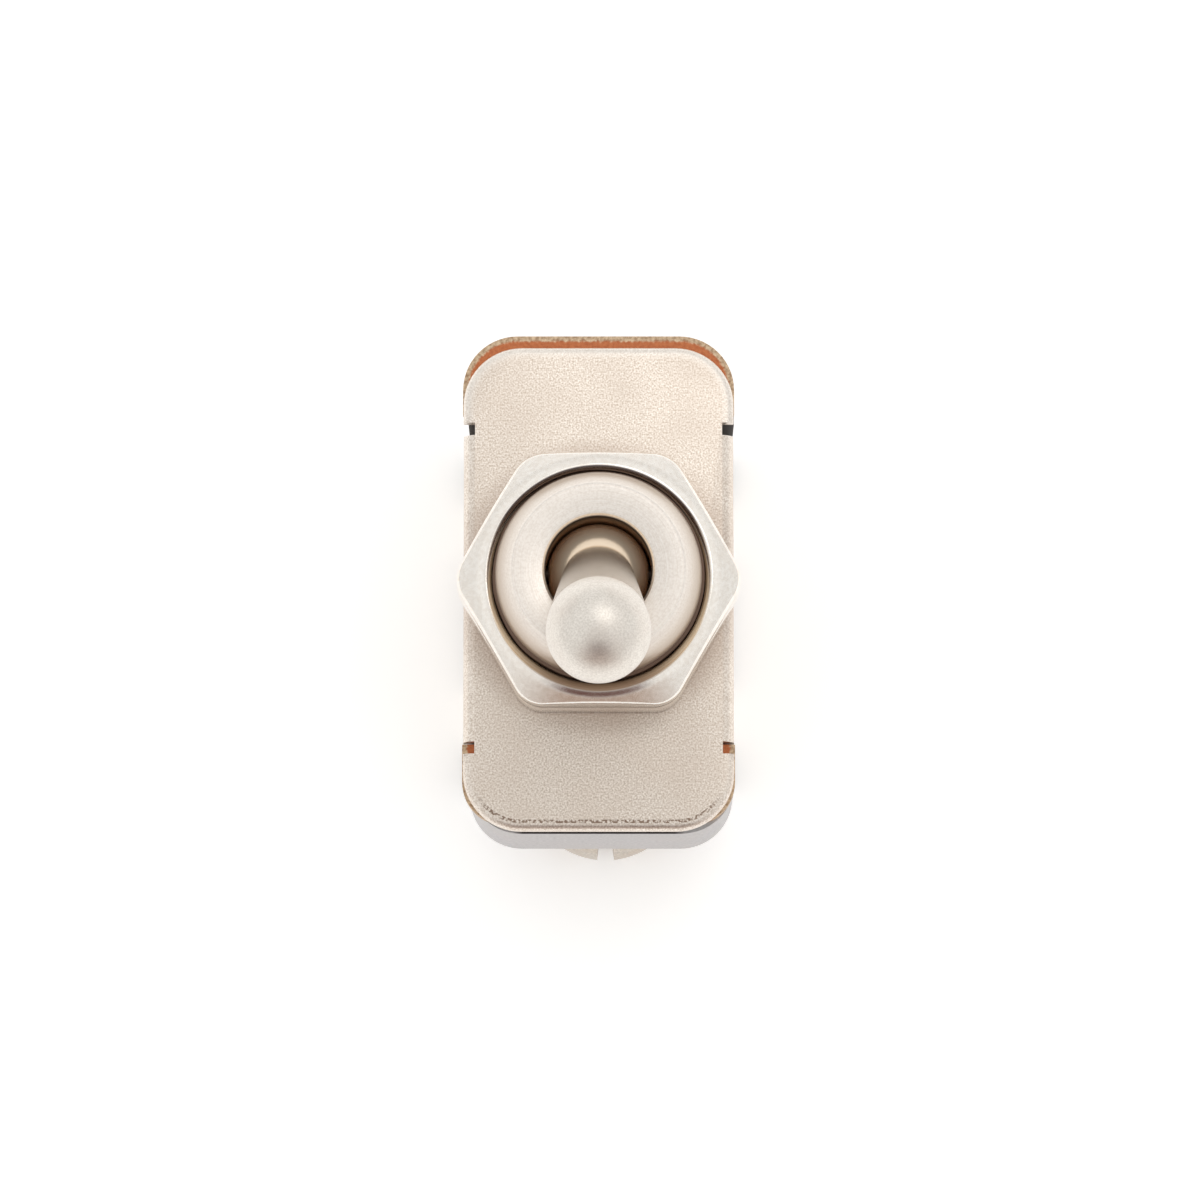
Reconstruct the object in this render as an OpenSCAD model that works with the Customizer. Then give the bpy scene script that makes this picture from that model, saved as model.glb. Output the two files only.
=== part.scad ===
// Panel toggle switch with a bat lever: a folded steel frame carries a threaded bushing and closes a
// moulded base, in which the lever's sprung plunger tips a contact rocker between two screw terminals.
// The bushing's axis is +Z, and the frame's front face, where the panel goes, lies at z = 0.

/* [Frame] */
// Width across the side walls
frame_w = 15.3; // [15:0.1:16.5]
// Length of the front plate
frame_l = 27.6; // [26.6:0.1:30]
// Thickness of the sheet
frame_t = 0.8; // [0.6:0.05:0.9]
// Height from the front face to the folded tabs
frame_h = 14.8; // [14.8:0.1:17]
// Corner radius of the front plate
frame_corner = 3.3; // [2.5:0.1:4]
// Outside radius of the folds
bend_r = 1; // [0.95:0.05:1.3]
// Length of the side walls along the body
wall_l = 17.5; // [16:0.1:18.5]
// Width of the relief notch at each end of a fold
notch_w = 0.7; // [0.5:0.05:0.9]
// Depth of the relief notch
notch_d = 0.65; // [0.4:0.05:0.9]
// Width of each tab folded under the base
tab_w = 3.2; // [2:0.1:4]
// Distance of a tab from the middle of its wall
tab_y = 5.4; // [4.5:0.1:6]
// Reach of a tab under the base, measured from the outside of the wall
tab_reach = 3; // [2.2:0.1:3.8]

/* [Insulator board] */
// Thickness of the board under the front plate
board_t = 0.9; // [0.6:0.1:1.2]
// Width of the board at its ends
board_w = 15.4; // [15:0.1:16.5]
// How far the board stands out past the front plate at its long end
board_reach = 0.75; // [0.1:0.05:0.9]
// How far the board stops short of the plate at its other end
board_short = 0.45; // [0.1:0.05:0.8]
// Corner radius at the long end
board_corner = 3.1; // [2:0.1:4]
// Corner radius at the short end
board_heel_corner = 2.4; // [1.5:0.1:3.5]

/* [Base] */
// Width of the moulded base
base_w = 15.1; // [14.6:0.1:16]
// Corner radius of the base
base_corner = 3; // [2:0.1:4]
// Height of the step at each end that the terminal lies in
terminal_h = 5.45; // [5.3:0.05:5.8]
// Length of the lower block, between the terminal faces
block_l = 23.4; // [22.8:0.1:24.2]
// Corner radius of the lower block
block_corner = 1.4; // [1:0.1:2.5]
// Edge radius round the rear face
rear_roll = 0.5; // [0.2:0.05:0.8]
// Width of the contact chamber
chamber_w = 10; // [8.5:0.1:10.6]
// Length of the contact chamber
chamber_l = 19.8; // [19.4:0.1:20.4]
// Depth of the contact chamber
chamber_h = 8.7; // [8.5:0.1:9.2]
// Corner radius of the chamber
chamber_corner = 1; // [0.5:0.1:2]
// Sideways play of the base between the frame's walls, taken up on one side
base_play = 0.15; // [0:0.01:0.2]

/* [Bushing] */
// Thread diameter, 15/32 inch
thread_d = 11.9; // [11.6:0.05:12.2]
// Height of the bushing above the panel face
bushing_h = 7.15; // [6.9:0.05:8.2]
// Height of the round shoulder between thread and front ring
shoulder_h = 2.4; // [1.8:0.1:2.5]
// Diameter of the flat front ring
ring_d = 9.7; // [8.6:0.1:10.4]
// Bore that the lever leans in
bore_d = 5.96; // [5.9:0.02:6.4]
// Edge radius of the bore's mouth
mouth_r = 0.3; // [0.1:0.05:0.4]
// Wider bore that the lever's tail swings in
tail_bore_d = 8.2; // [8:0.1:8.6]
// Spigot that is staked into the front plate
spigot_d = 10; // [9.6:0.1:10.4]
// Diameter of the staked collar behind the plate
stake_d = 11; // [10.6:0.1:11.2]
// Height of the staked collar
stake_h = 0.7; // [0.4:0.05:0.8]

/* [Nuts] */
// Width across flats, 9/16 inch
nut_af = 14.29; // [13.8:0.05:14.8]
// Height of the lower nut
lower_nut_h = 2.4; // [2:0.1:2.5]
// Height of the upper nut
upper_nut_h = 2; // [1.6:0.1:2]
// Radius of the six corners
nut_corner = 0.7; // [0.3:0.05:1]
// Depth of the countersink at the thread's mouth
countersink = 0.45; // [0.2:0.05:0.6]

/* [Lever] */
// Height of the lever's pivot above the panel face
pivot_z = 4.6; // [4.5:0.05:4.8]
// Whole swing of the lever, from stop to stop
throw = 36; // [28:1:36]
// Distance from the pivot to the centre of the rounded tip
lever_reach = 17.9; // [14:0.1:24]
// Diameter of the rounded tip
tip_d = 5.66; // [5:0.02:7]
// Diameter of the pivot ball
ball_d = 4.8; // [4.6:0.1:5.4]
// Diameter of the neck above the ball
neck_d = 4.04; // [3.4:0.02:4.1]
// Distance from the pivot to the shoulder where the bat begins
shoulder_s = 2.77; // [2.6:0.01:4]
// Step from the neck to the bat
shoulder_step = 0.04; // [0.02:0.01:0.06]
// Diameter of the tail that holds the plunger
tail_d = 3; // [2.8:0.1:3.2]
// Length of the tail below the pivot
tail_reach = 7.6; // [7:0.1:8]
// Diameter of the cross pin that the lever turns on
pin_d = 1; // [0.8:0.1:1.2]
// Length of the cross pin
pin_l = 8.4; // [7.6:0.1:9]

/* [Plunger and spring] */
// Diameter of the plunger
plunger_d = 1.9; // [1.7:0.1:2]
// Distance from the pivot to the plunger's nose
nose_reach = 11.2; // [11:0.05:11.4]
// Length of the plunger
plunger_l = 6.6; // [5.6:0.1:7]
// Diameter of the spring's wire
wire_d = 0.3; // [0.2:0.02:0.34]
// Outside diameter of the spring
spring_d = 1.6; // [1.4:0.1:1.6]
// Number of turns of the spring
spring_turns = 5; // [4:1:6]

/* [Rocker and terminals] */
// Height of the rocker's axis above the chamber floor
rocker_axis_h = 2.5; // [2.4:0.05:2.6]
// Tilt of the rocker to each side
rocker_tilt = 8; // [6:0.5:8]
// Thickness of the contact metal
strip_t = 0.7; // [0.6:0.05:0.75]
// Thickness of the rocker and of its bracket
rocker_t = 0.6; // [0.5:0.05:0.65]
// Width of the rocker
rocker_w = 4.4; // [4.2:0.1:4.6]
// Length of the rocker from end to end
rocker_l = 15.6; // [15:0.1:16]
// Half length of the rocker's hollow, in which the plunger slides
hollow_y = 3.9; // [3.7:0.05:4.1]
// Diameter of the rocker's pin
rocker_pin_d = 1; // [0.8:0.05:1]
// Diameter of the contact buttons
contact_d = 1.7; // [1.4:0.1:1.8]
// Distance of the contact from the rocker's axis
contact_y = 6.4; // [6:0.1:6.6]
// Width of the terminal plates outside the base
terminal_w = 6.4; // [5.4:0.1:8]
// Sideways place of the two terminals
terminal_x = 0.4; // [-0.5:0.1:0.5]
// Diameter of the terminal screws' heads
screw_head_d = 5.2; // [4.8:0.1:5.2]
// Radius of the domed top of a screw head
screw_dome_r = 4.65; // [4:0.05:6]
// Height of a screw head over the dome
screw_head_h = 1.75; // [1.4:0.05:2]
// Diameter of the screws' threads
screw_d = 3; // [2.6:0.1:3.2]
// Width of the slot at its floor
slot_w = 0.8; // [0.6:0.05:1]
// Width of the slot at its mouth
slot_mouth_w = 1; // [0.8:0.05:1.2]
// Depth of the slot
slot_depth = 1; // [0.6:0.05:1.1]

/* [Hidden] */
$fn = 64;

// clearances: a sliding fit, a running fit and a loose gap
slide_gap = 0.03;
run_gap = 0.05;
loose_gap = 0.3;
cut = 1;            // how far a cutting body runs past the face that it cuts

// heights, from the panel face down
board_top = -frame_t;
base_top = board_top - board_t;
rear_z = -frame_h - run_gap;
step_z = rear_z + terminal_h;
upper_h = base_top - step_z;
floor_z = base_top - chamber_h;
strip_top = floor_z + strip_t;
plate_top = strip_top + rocker_t;
foot_y = 1.9;

// the side walls and what they pass
wall_in = frame_w / 2 - frame_t;
recess_w = 2 * (wall_in - base_play - run_gap);
recess_y = wall_l / 2 + notch_w + 0.15;
board_shift = (board_reach - board_short) / 2 + board_short;
board_cut_w = 2 * (wall_in - (bend_r - frame_t) - run_gap);

// the lever at rest leans half its swing towards -Y
lean = throw / 2;
neck_r = neck_d / 2;
bat_r = neck_r + shoulder_step;
tip_r = tip_d / 2;
bat_slope = asin((tip_r - bat_r) / (lever_reach - shoulder_s));
spring_room = nose_reach - plunger_l;
tail_bore_top = 1.4;

// path of the plunger's nose over the tilting rocker, in the rocker's own frame
axis_z = floor_z + rocker_axis_h;
nose_r = plunger_d / 2;
nose_arm = nose_reach - nose_r;
nose_low = pivot_z - nose_arm - axis_z;
function nose_y(a, b) = cos(b) * nose_arm * sin(a) - sin(b) * (pivot_z - nose_arm * cos(a) - axis_z);
function nose_z(a, b) = sin(b) * nose_arm * sin(a) + cos(b) * (pivot_z - nose_arm * cos(a) - axis_z);
nose_run = nose_y(lean, rocker_tilt);
nose_rise = nose_z(lean, rocker_tilt) - nose_low;
path_r = (nose_run * nose_run + nose_rise * nose_rise) / (2 * nose_rise);
hollow_r = path_r + nose_r + 0.06;
hollow_z = nose_low + path_r;
horn_z = hollow_z - sqrt(hollow_r * hollow_r - hollow_y * hollow_y);
arm_low = 0.1;
leg_run = 0.7;
ear_r = 1;

// the contacts meet with the rocker down on the load side
button_h = 0.45;
button_z = arm_low - button_h;
meet_y = contact_y * cos(rocker_tilt) + button_z * sin(rocker_tilt);
meet_z = axis_z - contact_y * sin(rocker_tilt) + button_z * cos(rocker_tilt);

// terminals
terminal_y = block_l / 2;
screw_z = (step_z + rear_z) / 2;
screw_reach = 1.1;
rivet_d = 1.8;
rivet_head_d = 2.8;
rivet_head_h = 0.35;
rivet_floor = floor_z - 2;
rivet_pocket_d = 3;
load_rivet_y = 8.6;
load_rivet_head_d = 2.2;
load_strip_y = 5;
common_strip_y = 2.4;

// ---------- shared shapes ----------

// rectangle with round corners
module round_rect(w, l, r) {
  square([w, l - 2 * r], center = true);
  square([w - 2 * r, l], center = true);
  for (x = [-1, 1], y = [-1, 1])
    translate([x * (w / 2 - r), y * (l / 2 - r)]) circle(r);
}

// plate on z = 0 with round corners and its upper edge rolled over
module rolled_plate(w, l, t, r, roll) {
  linear_extrude(t - roll) round_rect(w, l, r);
  linear_extrude(t) round_rect(w - 2 * roll, l - 2 * roll, r - roll);
  for (x = [-1, 1])
    translate([x * (w / 2 - roll), 0, t - roll]) rotate([90, 0, 0])
      cylinder(r = roll, h = l - 2 * r, center = true);
  for (y = [-1, 1])
    translate([0, y * (l / 2 - roll), t - roll]) rotate([0, 90, 0])
      cylinder(r = roll, h = w - 2 * r, center = true);
  for (x = [-1, 1], y = [-1, 1])
    translate([x * (w / 2 - r), y * (l / 2 - r), t - roll])
      rotate_extrude() translate([r - roll, 0]) circle(roll);
}

// section in the YZ plane, drawn out along X
module along_x(w) {
  rotate([90, 0, 90]) linear_extrude(w, center = true) children();
}

// cylinder lying along X
module cross_cylinder(d, l) {
  rotate([0, 90, 0]) cylinder(d = d, h = l, center = true);
}

// outline of a nut with round corners
module hex_outline() {
  corner_y = (nut_af / 2 - nut_corner) / cos(30);
  polygon([for (a = [0:60:300], d = [-30, 30])
    [corner_y * cos(a) + nut_corner * cos(a + d), corner_y * sin(a) + nut_corner * sin(a + d)]]);
  for (a = [0:60:300]) rotate(a) translate([corner_y, 0]) circle(nut_corner);
}

// puts the lever's own frame, with its axis on +Z, at the pivot and leans it
module on_lever() {
  translate([0, 0, pivot_z]) rotate([lean, 0, 0]) children();
}

// puts the rocker's own frame at its axis and tips it
module on_rocker() {
  translate([0, 0, axis_z]) rotate([-rocker_tilt, 0, 0]) children();
}

// ---------- case ----------

module frame() {
  color("#d8cfc4") difference() {
    union() {
      difference() {
        translate([0, 0, -frame_t]) linear_extrude(frame_t) round_rect(frame_w, frame_l, frame_corner);
        for (x = [-1, 1])
          translate([x * frame_w / 2, 0, -frame_t / 2])
            cube([2 * notch_d, wall_l + 2 * notch_w, 3 * frame_t], center = true);
      }
      translate([0, 0, -frame_h / 2]) rotate([90, 0, 0])
        linear_extrude(wall_l, center = true) difference() {
          round_rect(frame_w, frame_h, bend_r);
          round_rect(frame_w - 2 * frame_t, frame_h - 2 * frame_t, bend_r - frame_t);
          translate([0, -frame_h / 2]) square([frame_w - 2 * tab_reach, 2 * bend_r], center = true);
        }
    }
    // the walls stop above the fold where they carry no tab
    for (y = [-1, 1])
      translate([0, y * (tab_y + tab_w / 2 + wall_l / 2), -frame_h])
        cube([frame_w + cut, wall_l, 2 * bend_r], center = true);
    translate([0, 0, -frame_h])
      cube([frame_w + cut, 2 * tab_y - tab_w, 2 * bend_r], center = true);
    translate([0, 0, -frame_t - cut]) cylinder(d = spigot_d + 2 * slide_gap, h = frame_t + 2 * cut);
  }
}

module board_outline() {
  long_y = frame_l / 2 + board_reach;
  short_y = -frame_l / 2 + board_short;
  big = board_corner;
  small = board_heel_corner;
  translate([-board_w / 2, short_y + small]) square([board_w, long_y - big - short_y - small]);
  translate([-board_w / 2 + big, short_y + small]) square([board_w - 2 * big, long_y - short_y - small]);
  translate([-board_w / 2 + small, short_y]) square([board_w - 2 * small, small]);
  for (x = [-1, 1]) {
    translate([x * (board_w / 2 - big), long_y - big]) circle(big);
    translate([x * (board_w / 2 - small), short_y + small]) circle(small);
  }
}

module insulator_board() {
  color("#b98a5c") translate([0, 0, base_top]) difference() {
    linear_extrude(board_t) board_outline();
    for (x = [-1, 1])
      translate([x * (board_cut_w / 2 + frame_w / 2), board_shift, board_t / 2])
        cube([frame_w, wall_l + 2 * notch_w, 3 * board_t], center = true);
    translate([0, 0, -cut]) cylinder(d = stake_d + 2 * loose_gap / 2, h = board_t + 2 * cut);
  }
}

module base() {
  color("#c3bebc") difference() {
    translate([base_play, 0, 0]) union() {
      translate([0, 0, step_z]) linear_extrude(upper_h) round_rect(base_w, frame_l, base_corner);
      translate([0, 0, step_z]) mirror([0, 0, 1])
        rolled_plate(base_w, block_l, step_z - rear_z, block_corner, rear_roll);
    }
    // rebates for the frame's side walls, longer above the step so that they clear the notches
    for (x = [-1, 1]) translate([base_play + x * (recess_w / 2 + base_w / 2), 0, 0]) {
      translate([0, 0, (base_top + step_z + cut) / 2])
        cube([base_w, 2 * recess_y, upper_h + cut], center = true);
      translate([0, 0, (base_top + rear_z) / 2])
        cube([base_w, wall_l + 4 * run_gap, frame_h + 2 * cut], center = true);
    }
    // pockets for the folded tabs
    for (y = [-1, 1])
      translate([0, y * tab_y, rear_z])
        for (x = [-1, 1])
          translate([x * frame_w / 2, 0, 0])
            cube([2 * (tab_reach + run_gap), tab_w + 2 * run_gap, 2 * (frame_t + 2 * run_gap)],
              center = true);
    // contact chamber
    translate([0, 0, floor_z]) linear_extrude(chamber_h + cut)
      round_rect(chamber_w, chamber_l, chamber_corner);
    // slots that the terminals leave the chamber by
    translate([terminal_x, 0, floor_z + (strip_t + run_gap) / 2])
      cube([rocker_w + 2 * run_gap, block_l + 2 * cut, strip_t + run_gap], center = true);
    // their folds start inside the end walls
    for (y = [-1, 1])
      translate([terminal_x, y * terminal_y, floor_z - strip_t / 2])
        cube([rocker_w + 2 * run_gap, 2 * (strip_t + run_gap), strip_t + 2 * run_gap], center = true);
    // room for the ends of the terminal screws
    for (y = [-1, 1])
      translate([terminal_x, y * (terminal_y - 1.3 / 2), screw_z]) rotate([90, 0, 0])
        cylinder(d = screw_d + 4 * run_gap, h = 1.3 + 0.001, center = true);
    // rivet holes, sunk from behind
    for (p = [[0, 0], [terminal_x, load_rivet_y]]) translate([p[0], p[1], rear_z - cut]) {
      cylinder(d = rivet_d + 2 * slide_gap, h = frame_h);
      cylinder(d = rivet_pocket_d, h = rivet_floor - rear_z + cut);
    }
  }
}

// ---------- bushing and nuts ----------

module bushing() {
  thread_r = thread_d / 2;
  bore_r = bore_d / 2;
  // the shoulder is an arc that leaves the thread upright and meets the front ring at an edge
  foot_r = thread_r - 0.08;
  foot_z = bushing_h - shoulder_h;
  cone_z = pivot_z - 3;
  arc_x = (foot_r * foot_r - ring_d * ring_d / 4 - shoulder_h * shoulder_h) / (2 * foot_r - ring_d);
  color("#d9d1c8") difference() {
    rotate_extrude() difference() {
      polygon([
        [tail_bore_d / 2, -frame_t - stake_h], [tail_bore_d / 2, cone_z],
        [bore_r, cone_z + tail_bore_d / 2 - bore_r],
        [bore_r, bushing_h], [thread_r, bushing_h], [thread_r, 0], [spigot_d / 2, 0],
        [spigot_d / 2, -frame_t], [stake_d / 2, -frame_t], [stake_d / 2 - 0.2, -frame_t - stake_h]
      ]);
      difference() {
        translate([ring_d / 2 - 0.2, foot_z]) square([thread_r, shoulder_h + cut]);
        translate([arc_x, foot_z]) circle(foot_r - arc_x, $fn = 128);
      }
      // the mouth's round edge
      difference() {
        translate([bore_r - cut, bushing_h - mouth_r]) square([cut + mouth_r, mouth_r + cut]);
        translate([bore_r + mouth_r, bushing_h - mouth_r]) circle(mouth_r);
      }
    }
    // grooves that the cross pin drops into from behind, with round ends at the pivot
    translate([0, 0, pivot_z]) cross_cylinder(pin_d + 2 * run_gap, pin_l + loose_gap);
    translate([0, 0, (pivot_z - frame_t - stake_h - cut) / 2])
      cube([pin_l + loose_gap, pin_d + 2 * run_gap, pivot_z + frame_t + stake_h + cut], center = true);
  }
}

module nut_bore(h) {
  r = thread_d / 2 + slide_gap;
  translate([0, 0, -cut]) cylinder(r = r, h = h + 2 * cut);
  translate([0, 0, h - countersink]) cylinder(r1 = r, r2 = r + 2 * countersink, h = 2 * countersink);
}

module lower_nut() {
  color("#efe9e1") difference() {
    linear_extrude(lower_nut_h) hex_outline();
    nut_bore(lower_nut_h);
  }
}

module upper_nut() {
  color("#f3eee7") translate([0, 0, lower_nut_h]) difference() {
    linear_extrude(upper_nut_h) hex_outline();
    nut_bore(upper_nut_h);
  }
}

// ---------- lever ----------

module lever() {
  color("#ddd9d3") on_lever() difference() {
    union() {
      sphere(d = ball_d);
      cylinder(r = neck_r, h = shoulder_s);
      translate([0, 0, shoulder_s])
        cylinder(r1 = bat_r, r2 = tip_r * cos(bat_slope), h = lever_reach - shoulder_s - tip_r * sin(bat_slope));
      translate([0, 0, lever_reach]) sphere(r = tip_r);
      translate([0, 0, -tail_reach]) cylinder(d = tail_d, h = tail_reach);
    }
    cross_cylinder(pin_d + slide_gap, ball_d + cut);
    translate([0, 0, -tail_reach - cut])
      cylinder(d = plunger_d + 2 * slide_gap, h = tail_reach + cut - tail_bore_top);
  }
}

module pivot_pin() {
  color("#b9b4ad") on_lever() cross_cylinder(pin_d, pin_l);
}

module plunger() {
  color("#cfcac2") on_lever() {
    translate([0, 0, -nose_arm]) sphere(d = plunger_d);
    translate([0, 0, -nose_arm]) cylinder(d = plunger_d, h = plunger_l - nose_r);
  }
}

// helical wire, swept as rings of eight sides
module plunger_spring() {
  coil_r = (spring_d - wire_d) / 2;
  low = -spring_room + wire_d / 2 + 0.02;
  high = -tail_bore_top - wire_d / 2 - 0.02;
  steps = 20 * spring_turns;
  sides = 8;
  ring = [for (i = [0:steps], k = [0:sides - 1])
    let (a = 360 * spring_turns * i / steps, b = 360 * k / sides, r = coil_r + wire_d / 2 * cos(b))
      [r * cos(a), r * sin(a), low + (high - low) * i / steps + wire_d / 2 * sin(b)]];
  sheath = [for (i = [0:steps - 1], k = [0:sides - 1])
    [i * sides + k, (i + 1) * sides + k, (i + 1) * sides + (k + 1) % sides, i * sides + (k + 1) % sides]];
  ends = [[for (k = [0:sides - 1]) k], [for (k = [sides - 1:-1:0]) steps * sides + k]];
  color("#a8a39c") on_lever() polyhedron(points = ring, faces = concat(sheath, ends), convexity = 8);
}

// ---------- rocker ----------

// the rocker's bent section: a hollow that follows the plunger's nose, two legs and two flat arms
module rocker_section() {
  difference() {
    translate([0, hollow_z]) circle(hollow_r + rocker_t, $fn = 160);
    translate([0, hollow_z]) circle(hollow_r, $fn = 160);
    translate([-2 * hollow_r, horn_z]) square([4 * hollow_r, 4 * hollow_r]);
  }
  for (y = [-1, 1]) {
    polygon([
      [y * (hollow_y - 0.05), horn_z], [y * (hollow_y - 0.35), horn_z - rocker_t],
      [y * (hollow_y + leg_run - 0.3), arm_low], [y * (hollow_y + leg_run + 0.4), arm_low + rocker_t],
      [y * (hollow_y + 0.55), horn_z]
    ]);
    translate([y * (hollow_y + leg_run / 2 + rocker_l / 2) / 2 - (rocker_l / 2 - hollow_y - leg_run / 2) / 2,
      arm_low]) square([rocker_l / 2 - hollow_y - leg_run / 2, rocker_t]);
  }
}

module rocker_ear() {
  circle(ear_r);
  translate([-ear_r, 0]) square([2 * ear_r, hollow_z - hollow_r - rocker_t / 2]);
}

module rocker() {
  color("#c9a66b") on_rocker() difference() {
    union() {
      along_x(rocker_w) rocker_section();
      for (x = [-1, 1])
        translate([x * (rocker_w - rocker_t) / 2, 0, 0]) along_x(rocker_t) rocker_ear();
    }
    cross_cylinder(rocker_pin_d + 2 * run_gap, rocker_w + cut);
    translate([0, contact_y, 0]) cylinder(d = contact_d / 2 + 2 * slide_gap, h = 2);
  }
}

module rocker_contact() {
  color("#d9d9d6") on_rocker() translate([0, contact_y, 0]) {
    translate([0, 0, button_z]) cylinder(d = contact_d, h = button_h);
    translate([0, 0, arm_low]) cylinder(d = contact_d / 2, h = rocker_t);
  }
}

module rocker_pin() {
  color("#b9b4ad") translate([0, 0, axis_z])
    cross_cylinder(rocker_pin_d, rocker_w + 2 * (rocker_t + loose_gap));
}

module fulcrum_bracket() {
  ear_x = rocker_w / 2 + loose_gap / 2 + rocker_t / 2;
  color("#c9a66b") difference() {
    union() {
      translate([-ear_x - rocker_t / 2, -foot_y, strip_top])
        cube([2 * ear_x + rocker_t, 2 * foot_y, rocker_t]);
      for (x = [-1, 1]) translate([x * ear_x, 0, 0]) along_x(rocker_t) {
        translate([0, axis_z]) circle(1.3);
        translate([-1.3, strip_top]) square([2.6, axis_z - strip_top]);
      }
    }
    translate([0, 0, axis_z]) cross_cylinder(rocker_pin_d + slide_gap, 4 * ear_x);
    translate([0, 0, strip_top - cut]) cylinder(d = rivet_d + 2 * slide_gap, h = rocker_t + 2 * cut);
  }
}

// ---------- terminals ----------

// strip along the chamber floor that leaves the base at y = face and turns down outside it
module terminal_section(start, face) {
  bend = 2 * strip_t;
  drop = strip_top - rear_z - loose_gap;
  translate([start, floor_z]) square([face + strip_t - bend - start, strip_t]);
  translate([face, strip_top - drop]) square([strip_t, drop - bend]);
  translate([face + strip_t - bend, strip_top - bend]) difference() {
    circle(bend);
    circle(bend - strip_t);
    translate([-2 * bend, -2 * bend]) square([2 * bend, 4 * bend]);
    translate([-2 * bend, -2 * bend]) square([4 * bend, 2 * bend]);
  }
}

// terminal towards +Y: a narrow strip inside the base and a wide plate outside it
module terminal(start) {
  difference() {
    translate([terminal_x, 0, 0]) {
      along_x(rocker_w) terminal_section(start, terminal_y);
      along_x(terminal_w) intersection() {
        terminal_section(start, terminal_y);
        translate([terminal_y + slide_gap, rear_z]) square([2 * strip_t, frame_h]);
      }
    }
    translate([terminal_x, terminal_y + strip_t / 2, screw_z]) rotate([90, 0, 0])
      cylinder(d = screw_d + slide_gap, h = 4 * strip_t, center = true);
    children();
  }
}

module load_terminal() {
  color("#c9a66b") terminal(load_strip_y)
    translate([terminal_x, load_rivet_y, floor_z - cut])
      cylinder(d = rivet_d + 2 * slide_gap, h = strip_t + 2 * cut);
}

module common_terminal() {
  color("#c9a66b") mirror([0, 1, 0]) terminal(-common_strip_y)
    translate([0, 0, floor_z - cut]) cylinder(d = rivet_d + 2 * slide_gap, h = strip_t + 2 * cut);
}

module load_contact() {
  h = meet_z - strip_top - run_gap;
  dome_r = 3;
  color("#d9d9d6") translate([0, meet_y, strip_top]) intersection() {
    cylinder(d = contact_d, h = h);
    translate([0, 0, h - dome_r]) sphere(r = dome_r);
  }
}

// rivet from a head that sits at z = top down to its closed head in the pocket behind the floor
module rivet(top, head_d) {
  cylinder_low = rivet_floor - 0.6;
  translate([0, 0, cylinder_low]) cylinder(d = rivet_d, h = top - cylinder_low);
  translate([0, 0, top]) cylinder(d = head_d, h = rivet_head_h);
  translate([0, 0, cylinder_low]) cylinder(d = rivet_pocket_d - 2 * loose_gap / 2, h = 0.6);
}

module common_rivet() {
  color("#c9a66b") rivet(plate_top, rivet_head_d);
}

module load_rivet() {
  color("#c9a66b") translate([terminal_x, load_rivet_y, 0]) rivet(strip_top, load_rivet_head_d);
}

// slotted screw into the terminal plate towards +Y, its slot along Z
module terminal_screw() {
  rim_h = screw_head_h - (screw_dome_r - sqrt(pow(screw_dome_r, 2) - pow(screw_head_d / 2, 2)));
  translate([terminal_x, terminal_y + strip_t, screw_z]) rotate([-90, 0, 0]) difference() {
    union() {
      intersection() {
        cylinder(d = screw_head_d, h = screw_head_h);
        translate([0, 0, screw_head_h - screw_dome_r]) sphere(r = screw_dome_r);
      }
      translate([0, 0, -strip_t - screw_reach]) cylinder(d = screw_d, h = strip_t + screw_reach);
    }
    rotate([90, 0, 0]) linear_extrude(2 * screw_head_d, center = true)
      polygon([
        [-slot_w / 2, screw_head_h - slot_depth], [slot_w / 2, screw_head_h - slot_depth],
        [slot_mouth_w / 2, screw_head_h + 0.001], [-slot_mouth_w / 2, screw_head_h + 0.001]
      ]);
  }
}

module load_screw() {
  color("#cfc8bf") terminal_screw();
}

module common_screw() {
  color("#cfc8bf") mirror([0, 1, 0]) terminal_screw();
}

frame();
insulator_board();
base();
bushing();
lower_nut();
upper_nut();
lever();
pivot_pin();
plunger();
plunger_spring();
rocker();
rocker_contact();
rocker_pin();
fulcrum_bracket();
common_terminal();
load_terminal();
load_contact();
common_rivet();
load_rivet();
common_screw();
load_screw();
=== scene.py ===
"""Looks of a panel toggle switch: nickel-plated frame, bushing, nuts and bat lever on a moulded base."""
import math

import bmesh
import bpy
from mathutils import Matrix, Vector


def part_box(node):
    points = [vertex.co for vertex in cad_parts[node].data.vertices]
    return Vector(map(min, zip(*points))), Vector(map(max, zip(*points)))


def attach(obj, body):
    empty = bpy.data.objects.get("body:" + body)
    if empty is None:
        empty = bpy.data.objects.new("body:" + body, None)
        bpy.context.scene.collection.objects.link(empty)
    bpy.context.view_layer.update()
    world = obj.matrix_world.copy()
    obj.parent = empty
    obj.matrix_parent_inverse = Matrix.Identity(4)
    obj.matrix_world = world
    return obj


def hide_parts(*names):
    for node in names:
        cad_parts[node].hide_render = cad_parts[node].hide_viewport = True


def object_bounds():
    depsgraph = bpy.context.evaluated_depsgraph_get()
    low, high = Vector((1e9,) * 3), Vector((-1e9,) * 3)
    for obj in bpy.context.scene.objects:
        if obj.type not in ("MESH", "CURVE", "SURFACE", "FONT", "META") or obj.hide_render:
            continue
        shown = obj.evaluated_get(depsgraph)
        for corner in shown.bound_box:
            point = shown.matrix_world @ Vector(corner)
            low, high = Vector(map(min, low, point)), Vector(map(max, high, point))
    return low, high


MM = 0.001
COLOUR = {"data_type": "RGBA"}
RINGS = {"noise_dimensions": "1D"}

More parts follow.
